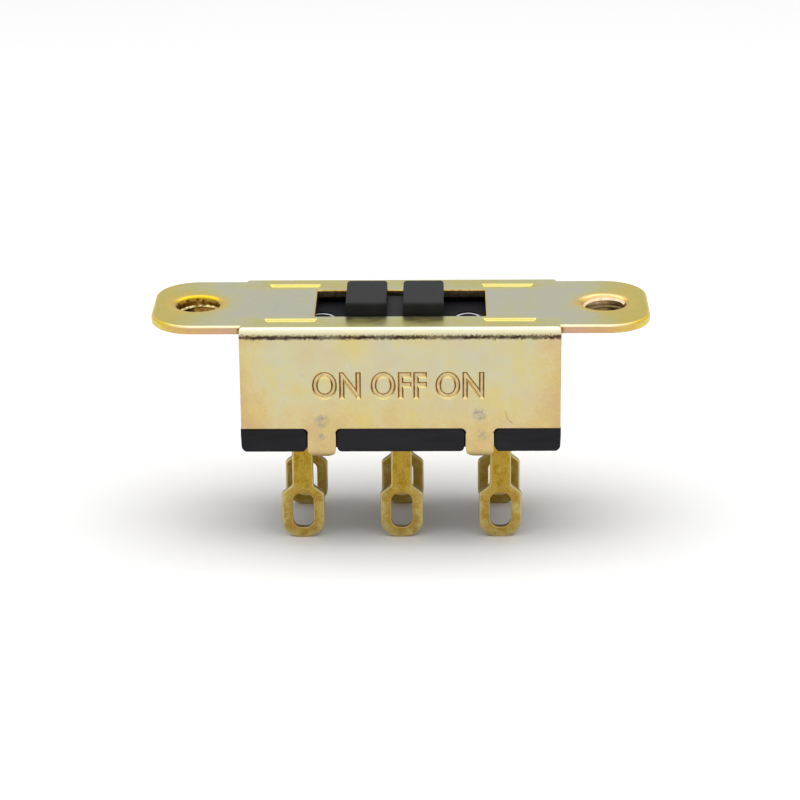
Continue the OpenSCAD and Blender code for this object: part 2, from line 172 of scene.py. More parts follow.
# zinc plated steel, yellow passivated: a soft grey-gold metal with clouds of straw, green and pink
sheetFinish = {
    "rough": 0.27, "roughSpread": 0.14,
    "holePitch": 28.575,
    # patterns: size in mm, detail, roughness; the rolled grain is drawn coarser than it is, so that it shows
    "patterns": {
        "cloud": (5.5, 3.0, 0.55), "mottle": (1.1, 4.0, 0.6), "fleck": (0.3, 3.0, 0.65),
        "jag": (0.2, 4.0, 0.8), "grain": (0.14, 2.0, 0.5)},
    "tint": 2.6,  # size of the drifting film colours, mm
    # where a colour fades in: what is measured, from, to, and the weight at each
    # a place is in mm, and a facing or a pattern goes up to 1
    "zones": {
        "top": ("facingUp", 0.35, 0.85, 0.0, 1.0),
        "wallEnds": ("side", 8.8, 11.1, 0.0, 0.28), "wallFoot": ("height", -4.0, -8.4, 0.0, 0.26),
        "yellowFilm": ("tint", 0.5, 0.7, 0.0, 0.55), "pinkFilm": ("tint", 0.48, 0.3, 0.0, 0.5),
        "earTips": ("side", 12.7, 17.3, 0.0, 0.44), "holeHalo": ("hole", 3.6, 2.2, 0.0, 0.16),
        "plateSides": ("depth", 2.4, 3.6, 0.0, 0.24), "plateMiddle": ("side", 12.0, 9.5, 0.4, 1.0),
        "foldBack": ("depth", 4.95, 5.15, 0.0, 1.0), "foldFace": ("depth", 5.2, 5.4, 0.0, 1.0),
        "roll": ("facingUp", 0.99, 0.93, 0.0, 1.0), "ears": ("side", 11.0, 11.15, 0.0, 1.0),
        "rollTips": ("side", 14.6, 16.4, 0.0, 1.0),
        "holeRing": ("hole", 2.5, 1.9, 0.0, 1.0), "holeLip": ("hole", 2.0, 1.75, 0.0, 1.0),
        "throat": ("hole", 1.6, 1.52, 0.0, 1.0),
        "rightHalf": ("right", -1.0, 1.0, 0.0, 1.0), "farHalf": ("back", 0.3, 1.3, 0.0, 1.0),
        "frontWall": ("facingBack", -0.5, -0.8, 0.0, 1.0), "ragged": ("fleck", 0.4, 0.6, 0.0, 1.0),
        "slopes": ("facingUp", 0.99, 0.9, 0.0, 1.0), "longSides": ("facingAcross", 0.05, 0.2, 0.0, 1.0),
        "ribRows": ("depth", 4.4, 4.3, 0.0, 1.0), "ribEnds": ("side", 10.0, 9.8, 0.0, 1.0),
        "crazing": ("mottle", 0.35, 0.6, 0.75, 1.0)},
    "limits": {  # hard limits, mm
        "offLip": ("hole", "GREATER_THAN", 2.4), "nearTop": ("height", "GREATER_THAN", -0.35),
        "leftHalf": ("right", "LESS_THAN", 0.0), "inLip": ("height", "GREATER_THAN", -0.6)},
    "overlaps": {  # colours that show only where all of these meet
        "sides": ("plateSides", "plateMiddle"), "paintedFoldHighlight": ("foldBack", "top"),
        "earRoll": ("roll", "ears", "offLip", "nearTop"), "pinkLipHighlight": ("rightHalf", "farHalf"),
        "paintedThroatShade": ("throat", "leftHalf", "inLip"), "worn": ("frontWall", "ragged"),
        "ribs": ("slopes", "ribRows", "ribEnds", "longSides"), "crazedFoldReflection": ("foldFace", "crazing")},
    # the line of crazing is also painted dark, a painted reflection of a dark room in front
    "foldDark": -0.55, "foldWide": 0.185, "foldJag": 0.6,  # crazed line's height, half width and jags, mm
    "smudges": [(-5.5, -6.7, 0.6, 0.95), (5.44, -6.25, 0.62, 1.0),
                (-5.5, -7.85, 0.42, 0.75), (5.6, -7.8, 0.5, 0.75)],  # x, z, radius, strength
    "scratch": {"x": 7.82, "z": -5.95, "radius": 0.53, "squeeze": 0.6,
                "wide": 0.05, "core": 0.02, "fade": 0.1},
}


def makeSheet(finish):
    material, tree, spot = startMaterial("yellowZincSheet")
    axes = addNode(tree, "ShaderNodeSeparateXYZ", links={0: spot})
    normal = addNode(tree, "ShaderNodeTexCoord").outputs["Normal"]
    facing = addNode(tree, "ShaderNodeSeparateXYZ", links={0: normal})
    measured = {"right": axes.outputs["X"], "back": axes.outputs["Y"], "height": axes.outputs["Z"],
                "facingUp": facing.outputs["Z"], "facingBack": facing.outputs["Y"]}
    for name, source in (("side", "right"), ("depth", "back"), ("facingAcross", "facingBack")):
        measured[name] = addNode(tree, "ShaderNodeMath", {"operation": "ABSOLUTE"},
                                 {0: measured[source]}).outputs[0]
    holeX = addNode(tree, "ShaderNodeMath", {"operation": "SUBTRACT", 1: finish["holePitch"] / 2},
                    {0: measured["side"]})
    holeSpot = addNode(tree, "ShaderNodeCombineXYZ", links={"X": holeX.outputs[0], "Y": measured["back"]})
    holeFar = addNode(tree, "ShaderNodeVectorMath", {"operation": "LENGTH"}, {0: holeSpot.outputs[0]})
    measured["hole"] = holeFar.outputs["Value"]
    for name, (size, detail, rough) in finish["patterns"].items():
        noise = addNode(tree, "ShaderNodeTexNoise", {"Scale": 1 / size, "Detail": detail, "Roughness": rough},
                        {"Vector": spot})
        measured[name] = noise.outputs["Fac"]
    tint = addNode(tree, "ShaderNodeTexNoise", {
        "Scale": 1 / finish["tint"], "Detail": 3.0, "Roughness": 0.6,
        "noise_dimensions": "4D", "W": 2.7}, {"Vector": spot})
    measured["tint"] = tint.outputs["Fac"]

    zone = {}
    for name, (source, start, end, least, most) in finish["zones"].items():
        fade = addNode(tree, "ShaderNodeMapRange", {
            "From Min": start, "From Max": end, "To Min": least, "To Max": most}, {"Value": measured[source]})
        zone[name] = fade.outputs[0]
    for name, (source, operation, limit) in finish["limits"].items():
        zone[name] = addNode(tree, "ShaderNodeMath", {"operation": operation, 1: limit},
                             {0: measured[source]}).outputs[0]
    for name, (first, *others) in finish["overlaps"].items():
        zone[name] = zone[first]
        for other in others:
            both = addNode(tree, "ShaderNodeMath", {"operation": "MULTIPLY"}, {0: zone[name], 1: zone[other]})
            zone[name] = both.outputs[0]
    patches = addNode(tree, "ShaderNodeMath", {"operation": "MULTIPLY", 1: 0.5},
                      {0: measured["cloud"]}).outputs[0]
    for name, share in (("mottle", 0.25), ("fleck", 0.35)):
        patches = addNode(tree, "ShaderNodeMath", {"operation": "MULTIPLY_ADD", 1: share},
                          {0: measured[name], 2: patches}).outputs[0]

    # the film thickens towards the ends of the walls and down to the tabs
    film = patches
    for name in ("wallEnds", "wallFoot"):
        film = addNode(tree, "ShaderNodeMath", {"operation": "ADD"}, {0: zone[name], 1: film}).outputs[0]
    film = addNode(tree, "ShaderNodeMapRange", {"From Min": 0.2, "From Max": 1.0}, {"Value": film})
    wall = addNode(tree, "ShaderNodeValToRGB", {"stops": [
        (0.15, "#c0c1a8"), (0.3, "#c7c3a7"), (0.45, "#cdc49a"), (0.58, "#d1c18d"), (0.7, "#d0b882"),
        (0.88, "#caac7b")]}, {0: film.outputs[0]}).outputs[0]

    # thin film colours drift over it, yellow in some places and pink in others
    for name, colour in (("yellowFilm", "#d6c474"), ("pinkFilm", "#cdb899")):
        wall = addNode(tree, "ShaderNodeMix", {"data_type": "RGBA", 7: colour},
                       {0: zone[name], 6: wall}).outputs[2]

    # the plate is greyer in the middle and goes straw yellow at its sides and out on the ears
    film = zone["earTips"]
    for name in ("sides", "holeHalo"):
        film = addNode(tree, "ShaderNodeMath", {"operation": "ADD"}, {0: film, 1: zone[name]}).outputs[0]
    film = addNode(tree, "ShaderNodeMath", {"operation": "MULTIPLY_ADD", 1: 0.75},
                   {0: patches, 2: film}).outputs[0]
    film = addNode(tree, "ShaderNodeMapRange", {"From Min": 0.21, "From Max": 0.91}, {"Value": film})
    plate = addNode(tree, "ShaderNodeValToRGB", {"stops": [
        (0.12, "#a5a395"), (0.3, "#a9a791"), (0.5, "#acaa80"), (0.68, "#aea660"),
        (0.88, "#b4a23a")]}, {0: film.outputs[0]})
    # up-facing faces take the plate's colours, greyer and darker than the wall's: partly the film's own tone,
    # partly painted shade for the dimmer reflection that the top sees
    shade = addNode(tree, "ShaderNodeMix", {"data_type": "RGBA"},
                    {0: zone["top"], 6: wall, 7: plate.outputs[0]}).outputs[2]

    # the outside of the fold is painted pale as a painted highlight, and so is the roll of the ears: cream
    # along it, gold at the tips
    shade = addNode(tree, "ShaderNodeMix", {"data_type": "RGBA", 7: "#efebcc"},
                    {0: zone["paintedFoldHighlight"], 6: shade}).outputs[2]
    paintedGlint = addNode(tree, "ShaderNodeMix", {"data_type": "RGBA", 6: "#f4ebc0", 7: "#d8b83c"},
                     {0: zone["rollTips"]})
    shade = addNode(tree, "ShaderNodeMix", {"data_type": "RGBA"},
                    {0: zone["earRoll"], 6: shade, 7: paintedGlint.outputs[2]}).outputs[2]

    # drawn lips of the screw holes are gold; their far halves are painted paler, and pink-white on the right
    # one, as a painted highlight
    ring = addNode(tree, "ShaderNodeMath", {"operation": "MULTIPLY"},
                   {0: zone["holeRing"], 1: measured["mottle"]})
    ring = addNode(tree, "ShaderNodeMath", {"operation": "MULTIPLY", 1: 1.5, "use_clamp": True},
                   {0: ring.outputs[0]})
    shade = addNode(tree, "ShaderNodeMix", {"data_type": "RGBA", 7: "#c2a63a"},
                    {0: ring.outputs[0], 6: shade}).outputs[2]
    gold = addNode(tree, "ShaderNodeMix", {"data_type": "RGBA", 6: "#b89e3c", 7: "#e6bc2c"},
                   {0: zone["farHalf"]})
    gold = addNode(tree, "ShaderNodeMix", {"data_type": "RGBA", 7: "#f4cb8e"},
                   {0: zone["pinkLipHighlight"], 6: gold.outputs[2]})
    shade = addNode(tree, "ShaderNodeMix", {"data_type": "RGBA"},
                    {0: zone["holeLip"], 6: shade, 7: gold.outputs[2]}).outputs[2]

    # painted shade in the throat of the left hole: dark and flecked
    brown = addNode(tree, "ShaderNodeValToRGB", {"stops": [(0.42, "#46340c"), (0.6, "#b08c30")]},
                    {0: measured["fleck"]})
    shade = addNode(tree, "ShaderNodeMix", {"data_type": "RGBA"},
                    {0: zone["paintedThroatShade"], 6: shade, 7: brown.outputs[0]}).outputs[2]

    # worn grey smudges over the tabs
    flatSpot = addNode(tree, "ShaderNodeCombineXYZ",
                       links={"X": measured["right"], "Z": measured["height"]}).outputs[0]
    for x, z, radius, strength in finish["smudges"]:
        far = addNode(tree, "ShaderNodeVectorMath", {"operation": "DISTANCE", 1: (x, 0, z)}, {0: flatSpot})
        mark = addNode(tree, "ShaderNodeMapRange", {
            "From Min": radius, "From Max": radius * 0.4, "To Max": strength},
            {"Value": far.outputs["Value"]})
        mark = addNode(tree, "ShaderNodeMath", {"operation": "MULTIPLY"},
                       {0: mark.outputs[0], 1: zone["worn"]})
        shade = addNode(tree, "ShaderNodeMix", {"data_type": "RGBA", 7: "#94938a"},
                        {0: mark.outputs[0], 6: shade}).outputs[2]

    # small curved scratch in the front wall, a quarter of an ellipse
    scratch = finish["scratch"]
    aside = addNode(tree, "ShaderNodeVectorMath",
                    {"operation": "SUBTRACT", 1: (scratch["x"], 0, scratch["z"])}, {0: flatSpot})
    aside = addNode(tree, "ShaderNodeVectorMath", {"operation": "MULTIPLY", 1: (1, 0, scratch["squeeze"])},
                    {0: aside.outputs[0]})
    far = addNode(tree, "ShaderNodeVectorMath", {"operation": "LENGTH"}, {0: aside.outputs[0]})
    off = addNode(tree, "ShaderNodeMath", {"operation": "SUBTRACT", 1: scratch["radius"]},
                  {0: far.outputs["Value"]})
    off = addNode(tree, "ShaderNodeMath", {"operation": "ABSOLUTE"}, {0: off.outputs[0]})
    mark = addNode(tree, "ShaderNodeMapRange", {
        "From Min": scratch["wide"], "From Max": scratch["core"], "To Max": 0.5},
        {"Value": off.outputs[0]}).outputs[0]
    for name, start in (("right", scratch["x"]), ("height", scratch["z"])):
        quarter = addNode(tree, "ShaderNodeMapRange", {
            "From Min": start, "From Max": start - scratch["fade"]}, {"Value": measured[name]})
        mark = addNode(tree, "ShaderNodeMath", {"operation": "MULTIPLY"},
                       {0: mark, 1: quarter.outputs[0]}).outputs[0]
    mark = addNode(tree, "ShaderNodeMath", {"operation": "MULTIPLY"}, {0: mark, 1: zone["frontWall"]})
    shade = addNode(tree, "ShaderNodeMix", {"data_type": "RGBA", 7: "#8f7c58"},
                    {0: mark.outputs[0], 6: shade}).outputs[2]

    # sloping sides of the pressed ribs are painted bright yellow: a painted highlight
    shade = addNode(tree, "ShaderNodeMix", {"data_type": "RGBA", 7: "#e2d67c"},
                    {0: zone["ribs"], 6: shade}).outputs[2]

    # line of crazing where the fold stretched the plating, painted dark as a painted reflection of a dark
    # room in front
    drop = addNode(tree, "ShaderNodeMath", {
        "operation": "MULTIPLY_ADD", 1: finish["foldJag"],
        2: -finish["foldJag"] / 2 - finish["foldDark"]}, {0: measured["jag"]})
    drop = addNode(tree, "ShaderNodeMath", {"operation": "ADD"}, {0: drop.outputs[0], 1: measured["height"]})
    drop = addNode(tree, "ShaderNodeMath", {"operation": "ABSOLUTE"}, {0: drop.outputs[0]})
    line = addNode(tree, "ShaderNodeMapRange", {
        "From Min": finish["foldWide"], "From Max": finish["foldWide"] * 0.4}, {"Value": drop.outputs[0]})
    line = addNode(tree, "ShaderNodeMath", {"operation": "MULTIPLY"}, {0: line.outputs[0], 1: zone["crazedFoldReflection"]})
    shade = addNode(tree, "ShaderNodeMix", {"data_type": "RGBA", 7: "#43332c"},
                    {0: line.outputs[0], 6: shade}).outputs[2]

    finishMaterial(tree, finish, {"Metallic": 1.0}, shade, (measured["grain"], 0.5, 0.006),
                   measured["mottle"])
    return material


# blanked edge of the same sheet: the thick film over the torn metal shows salmon, orange and yellow
edgeFinish = {
    "streak": 0.9, "rough": 0.38,
    "ear": (11.0, 17.4), "root": (11.32, 11.18),  # from and to along the plate, mm
}


def makeEdge(finish):
    material, tree, spot = startMaterial("yellowZincBlankedEdge")
    axes = addNode(tree, "ShaderNodeSeparateXYZ", links={0: spot})
    alongX = addNode(tree, "ShaderNodeMath", {"operation": "ABSOLUTE"}, {0: axes.outputs["X"]}).outputs[0]
    streak = addNode(tree, "ShaderNodeTexNoise", {"Scale": 1 / finish["streak"], "Detail": 3.0},
                     {"Vector": spot}).outputs["Fac"]
    start, end = finish["ear"]
    outward = addNode(tree, "ShaderNodeMapRange", {"From Min": start, "From Max": end, "To Max": 0.75},
                      {"Value": alongX})
    film = addNode(tree, "ShaderNodeMath", {"operation": "MULTIPLY_ADD", 1: 0.5},
                   {0: streak, 2: outward.outputs[0]})
    shade = addNode(tree, "ShaderNodeValToRGB", {"stops": [
        (0.2, "#c0a67c"), (0.4, "#cca284"), (0.6, "#cea676"), (0.8, "#d8b65e"),
        (0.95, "#dcca60")]}, {0: film.outputs[0]})
    # painted shadow: dark brown in the corner where the ear leaves the fold
    start, end = finish["root"]  # brown where the ear leaves the fold
    root = addNode(tree, "ShaderNodeMapRange", {"From Min": start, "From Max": end, "To Max": 0.85},
                   {"Value": alongX})
    shade = addNode(tree, "ShaderNodeMix", {"data_type": "RGBA", 7: "#86501f"},
                    {0: root.outputs[0], 6: shade.outputs[0]})
    finishMaterial(tree, finish, {"Metallic": 1.0, "Roughness": finish["rough"]}, shade.outputs[2],
                   (streak, 0.6, 0.02))
    return material


# pressed and cut places of the same sheet: flats as pale as the wall; slopes painted brown as painted shade,
# and slopes that face up painted pale as a painted glint
pressFinish = {"blotch": 0.3, "rough": 0.33, "sunkMost": 0.85}
# dark and pale of the flats, of the slopes and of the slopes that face up, and the way that the flats face
pressShades = {
    "yellowZincStamped": {"faces": "Y", "flat": ("#c2ae80", "#d4c294"), "slope": ("#9c7842", "#c29c56"),
                          "paintedGlint": ("#f2de94", "#f4e6a6")},
    "yellowZincCutSlot": {"faces": "Z", "flat": ("#a29a5c", "#b2a96a"), "slope": ("#847258", "#b6a282"),
                          "paintedGlint": ("#c48a24", "#ecc04c")},
    "yellowZincTappedBrown": {"faces": "Z", "flat": ("#6c5014", "#c49c30"), "slope": ("#7a5420", "#a8843a"),
                              "paintedGlint": ("#6a4a14", "#ffeea4")},
    "yellowZincTappedPink": {"faces": "Z", "flat": ("#c8b080", "#f0d8b0"), "slope": ("#c0a070", "#ecd4b4"),
                             "paintedGlint": ("#ecd09c", "#fff2d6"),
                             "sunk": (-0.5, -0.66, "#5c4812")},  # its dark depth, from and to in mm
}


def makePressed(name, finish, shades):
    material, tree, spot = startMaterial(name)
    normal = addNode(tree, "ShaderNodeTexCoord").outputs["Normal"]
    facing = addNode(tree, "ShaderNodeSeparateXYZ", links={0: normal})
    blotch = addNode(tree, "ShaderNodeTexNoise", {"Scale": 1 / finish["blotch"], "Detail": 3.0},
                     {"Vector": spot}).outputs["Fac"]
    coat = {}
    for place in ("flat", "slope", "paintedGlint"):
        dark, pale = shades[place]
        coat[place] = addNode(tree, "ShaderNodeValToRGB", {"stops": [(0.35, dark), (0.65, pale)]},
                              {0: blotch}).outputs[0]
    turned = addNode(tree, "ShaderNodeMath", {"operation": "ABSOLUTE"}, {0: facing.outputs[shades["faces"]]})
    steep = addNode(tree, "ShaderNodeMapRange", {"From Min": 0.95, "From Max": 0.8},
                    {"Value": turned.outputs[0]})
    facingUp = addNode(tree, "ShaderNodeMapRange", {"From Min": 0.2, "From Max": 0.5},
                       {"Value": facing.outputs["Z"]})
    # slopes that face up take the painted glint, the other slopes the painted shade
    slope = addNode(tree, "ShaderNodeMix", {"data_type": "RGBA"},
                    {0: facingUp.outputs[0], 6: coat["slope"], 7: coat["paintedGlint"]})
    shade = addNode(tree, "ShaderNodeMix", {"data_type": "RGBA"},
                    {0: steep.outputs[0], 6: coat["flat"], 7: slope.outputs[2]})
    # deeper in the hole the colour goes dark: painted shade
    if "sunk" in shades:
        start, end, colour = shades["sunk"]
        axes = addNode(tree, "ShaderNodeSeparateXYZ", links={0: spot})
        sunk = addNode(tree, "ShaderNodeMapRange", {
            "From Min": start, "From Max": end, "To Max": finish["sunkMost"]}, {"Value": axes.outputs["Z"]})
        shade = addNode(tree, "ShaderNodeMix", {"data_type": "RGBA", 7: colour},
                        {0: sunk.outputs[0], 6: shade.outputs[2]})
    finishMaterial(tree, finish, {"Metallic": 1.0, "Roughness": finish["rough"]}, shade.outputs[2],
                   (blotch, 0.5, 0.012))
    return material


sheetMetal = makeSheet(sheetFinish)
edgeMetal = makeEdge(edgeFinish)
grooveMetal, slotMetal, boreLeft, boreRight = (
    makePressed(name, pressFinish, shades) for name, shades in pressShades.items())
frameMetals = [sheetMetal, edgeMetal, grooveMetal, slotMetal, boreLeft, boreRight]
sheetFace, cutEdge, grooveFace, slotFace, boreFaceLeft, boreFaceRight = range(len(frameMetals))
print("zinc finishes made")


# the words for the front wall, as the die that presses them: sloping sides, widest at the surface
stamp = {
    "words": "ON OFF ON", "wide": 2.1, "tall": 2.6,  # stretch of the letters, mm
    "deep": 0.14, "middle": -0.12, "foot": -4.97,  # into the wall, and place on it, mm
    "gap": 0.75, "apart": 1.08,  # spacing of words and of letters
    "thin": 0.01, "slope": 0.055, "body": 0.05, "weld": 0.0001,  # in letter heights
}

curve = bpy.data.curves.new("stampedWords", "FONT")
curve.body = stamp["words"]
curve.align_x = "CENTER"
curve.space_word = stamp["gap"]
curve.space_character = stamp["apart"]
curve.offset = -stamp["thin"]
curve.extrude = stamp["body"]
curve.bevel_depth = stamp["slope"]
curve.bevel_resolution = 0
words = bpy.data.objects.new("stampedWords", curve)
scene.collection.objects.link(words)
dieMesh = bpy.data.meshes.new_from_object(words.evaluated_get(bpy.context.evaluated_depsgraph_get()))
bpy.data.objects.remove(words)
bm = bmesh.new()
bm.from_mesh(dieMesh)
bmesh.ops.remove_doubles(bm, verts=bm.verts, dist=stamp["weld"])
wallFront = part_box("frame")[0].y
thick = stamp["deep"] / stamp["slope"]
dieFront = wallFront - stamp["body"] * thick * mm
bmesh.ops.scale(bm, verts=bm.verts, vec=(stamp["wide"] * mm, stamp["tall"] * mm, thick * mm))
bmesh.ops.rotate(bm, verts=bm.verts, cent=(0, 0, 0), matrix=Matrix.Rotation(math.pi / 2, 3, "X"))
bmesh.ops.translate(bm, verts=bm.verts, vec=(stamp["middle"] * mm, dieFront, stamp["foot"] * mm))
for face in bm.faces:
    face.material_index = grooveFace
bm.to_mesh(dieMesh)
bm.free()
die = bpy.data.objects.new("stampDie", dieMesh)
scene.collection.objects.link(die)


# folded frame: the sheet's edges are rolled by the die, and the words are pressed into it
frameSheet = {
    "roll": 0.09, "rollSteps": 3, "earRoll": 0.21, "earSteps": 4,
    "sheetLow": -0.65, "topEdges": -0.1, "tabBend": -8.4,  # heights, mm
    "earFrom": 11.0, "earCut": 11.05, "holeMiddle": 14.29,  # along the plate, mm
    "lipClear": 2.4,  # from a hole's middle, mm
    "slotX": 6.2, "slotY": 3.0, "boreRadius": 1.6, "boreLow": -1.9,  # reach of the slot and of a bore, mm
    "upright": 0.3, "rollFaces": (0.05, 0.995), "rollTop": 0.45, "level": 0.999,  # Z of the way a face points
}


def onEarTop(a, b):
    return min(a.z, b.z) > frameSheet["topEdges"] and min(abs(a.x), abs(b.x)) >= frameSheet["earFrom"]


def fromHole(place):
    return math.hypot(abs(place.x) - frameSheet["holeMiddle"], place.y)


bm = copyNode("frame")
for face in bm.faces:
    middle = face.calc_center_median() / mm
    if (abs(face.normal.z) < frameSheet["upright"] and middle.z > frameSheet["sheetLow"]
            and abs(middle.x) > frameSheet["earCut"]):
        face.material_index = cutEdge  # blanked outline of the ears
breakEdges(bm, frameSheet["earRoll"], frameSheet["earSteps"], where=onEarTop, slide=False)
bm.normal_update()
steepest, flattest = frameSheet["rollFaces"]
for face in bm.faces:
    middle = face.calc_center_median() / mm
    if (abs(middle.x) >= frameSheet["earFrom"] and middle.z > -frameSheet["earRoll"]
            and steepest < face.normal.z < flattest and fromHole(middle) > frameSheet["lipClear"]):
        # the upper part of the roll is face, the lower part is cut edge
        face.material_index = sheetFace if face.normal.z > frameSheet["rollTop"] else cutEdge
breakEdges(bm, frameSheet["roll"], frameSheet["rollSteps"],
           where=lambda a, b: min(a.z, b.z) > frameSheet["tabBend"])
for face in bm.faces:
    middle = face.calc_center_median() / mm
    inSlot = abs(middle.x) < frameSheet["slotX"] and abs(middle.y) < frameSheet["slotY"]
    if inSlot and face.normal.z < frameSheet["level"] and middle.z > frameSheet["sheetLow"]:
        face.material_index = slotFace
    inBore = fromHole(middle) < frameSheet["boreRadius"] and middle.z > frameSheet["boreLow"]
    if inBore and abs(face.normal.z) < frameSheet["upright"]:
        face.material_index = boreFaceLeft if middle.x < 0 else boreFaceRight
blank = bpy.data.objects.new("blank", bpy.data.meshes.new("blank"))
bm.to_mesh(blank.data)
scene.collection.objects.link(blank)
for piece in (blank, die):
    for material in frameMetals:
        piece.data.materials.append(material)
press = blank.modifiers.new("press", "BOOLEAN")
press.operation = "DIFFERENCE"
press.solver = "EXACT"
press.object = die
pressed = bpy.data.meshes.new_from_object(blank.evaluated_get(bpy.context.evaluated_depsgraph_get()))
bm.clear()
bm.from_mesh(pressed)
bpy.data.objects.remove(blank)
bpy.data.objects.remove(die)
addPiece("foldedFrame", bm, frameMetals, "housing", ["frame"], smooth=38)
print("frame folded and stamped:", len(pressed.polygons), "faces")


# thread cut in each drawn hole
thread = {
    "pitch": 0.5, "deep": 0.11, "wide": 0.3, "bore": 1.45, "holePitch": 28.575, "sunk": 0.03,  # mm
    "steps": 48,  # to a turn
}
starts = {"threadLeft": (-0.59, 1.3), "threadRight": (-0.2, 2.0)}  # top of the first ridge in mm, and turns

for name, side, material in (("threadLeft", -1, boreLeft), ("threadRight", 1, boreRight)):
    top, turns = starts[name]
    bm = bmesh.new()
    x = side * thread["holePitch"] / 2
    rim = thread["bore"] + thread["sunk"]
    corners = [(x + rim, 0, top + thread["wide"] / 2), (x + rim, 0, top - thread["wide"] / 2),
               (x + thread["bore"] - thread["deep"], 0, top)]
    profile = bm.faces.new([bm.verts.new(Vector(c) * mm) for c in corners])
    steps = round(thread["steps"] * turns)
    bmesh.ops.spin(bm, geom=bm.verts[:] + bm.edges[:] + [profile], cent=(x * mm, 0, 0), axis=(0, 0, 1),
                   dvec=(0, 0, -thread["pitch"] * mm / thread["steps"]),
                   angle=2 * math.pi * turns, steps=steps)
    bmesh.ops.remove_doubles(bm, verts=bm.verts, dist=weld)
    bmesh.ops.recalc_face_normals(bm, faces=bm.faces)
    addPiece(name, bm, [material], "housing", [], smooth=70)
print("holes tapped")


# black phenolic, moulded: a satin, slightly blue black with dull flow patches
baseFinish = {
    "flow": 1.6, "grain": 0.1,  # mm; the grain is drawn coarser than it is, so that it shows
    "along": 0.2,  # the flow is drawn out lengthways by this
    "rough": 0.42, "roughSpread": 0.16,
}
baseEdge = {"round": 0.06, "steps": 2, "shortest": 0.2}


def makeBase(finish):
    material, tree, spot = startMaterial("blackMouldedPhenolic")
    drawn = addNode(tree, "ShaderNodeMapping", {"Scale": (finish["along"], 1, 1)}, {0: spot})
    flow = addNode(tree, "ShaderNodeTexNoise", {"Scale": 1 / finish["flow"], "Detail": 4.0, "Roughness": 0.6},
                   {"Vector": drawn.outputs[0]}).outputs["Fac"]
    grain = addNode(tree, "ShaderNodeTexNoise", {"Scale": 1 / finish["grain"], "Detail": 2.0},
                    {"Vector": spot})
    shade = addNode(tree, "ShaderNodeValToRGB",
                    {"stops": [(0.38, "#111114"), (0.5, "#1a1a1e"), (0.62, "#232327")]}, {0: flow})
    finishMaterial(tree, finish, {"Specular IOR Level": 0.2}, shade.outputs[0],
                   (grain.outputs["Fac"], 0.4, 0.006), flow)
    return material


bm = copyNode("base")
breakEdges(bm, baseEdge["round"], baseEdge["steps"], shortest=baseEdge["shortest"])
addPiece("mouldedBase", bm, [makeBase(baseFinish)], "housing", ["base"])
print("base moulded")


# black nylon, moulded: charcoal with a fine dull grain; round the ejector pin marks whitish rings, painted
# highlights on their rims
sliderFinish = {
    "grain": 0.09, "patch": 1.6,  # mm; the grain is drawn coarser than it is, so that it shows
    "rough": 0.5, "roughSpread": 0.14,
    "slotShadeFrom": -0.55, "slotShadeTo": -0.8, "flange": -0.9, "flangeFade": 0.1,  # heights, mm
    "ringRadius": 0.75, "ringWide": 0.11, "ringPitch": 10.29, "ringY": -0.08, "middle": -0.4,  # mm
}
knob = {
    "top": 0.86, "valleyFloor": -0.34, "cutLift": 0.01, "onCut": 0.0001, "weld": 0.012,  # mm
    "round": 0.21, "roundSteps": 6, "edge": 0.05, "edgeSteps": 2, "shortest": 0.15,
}


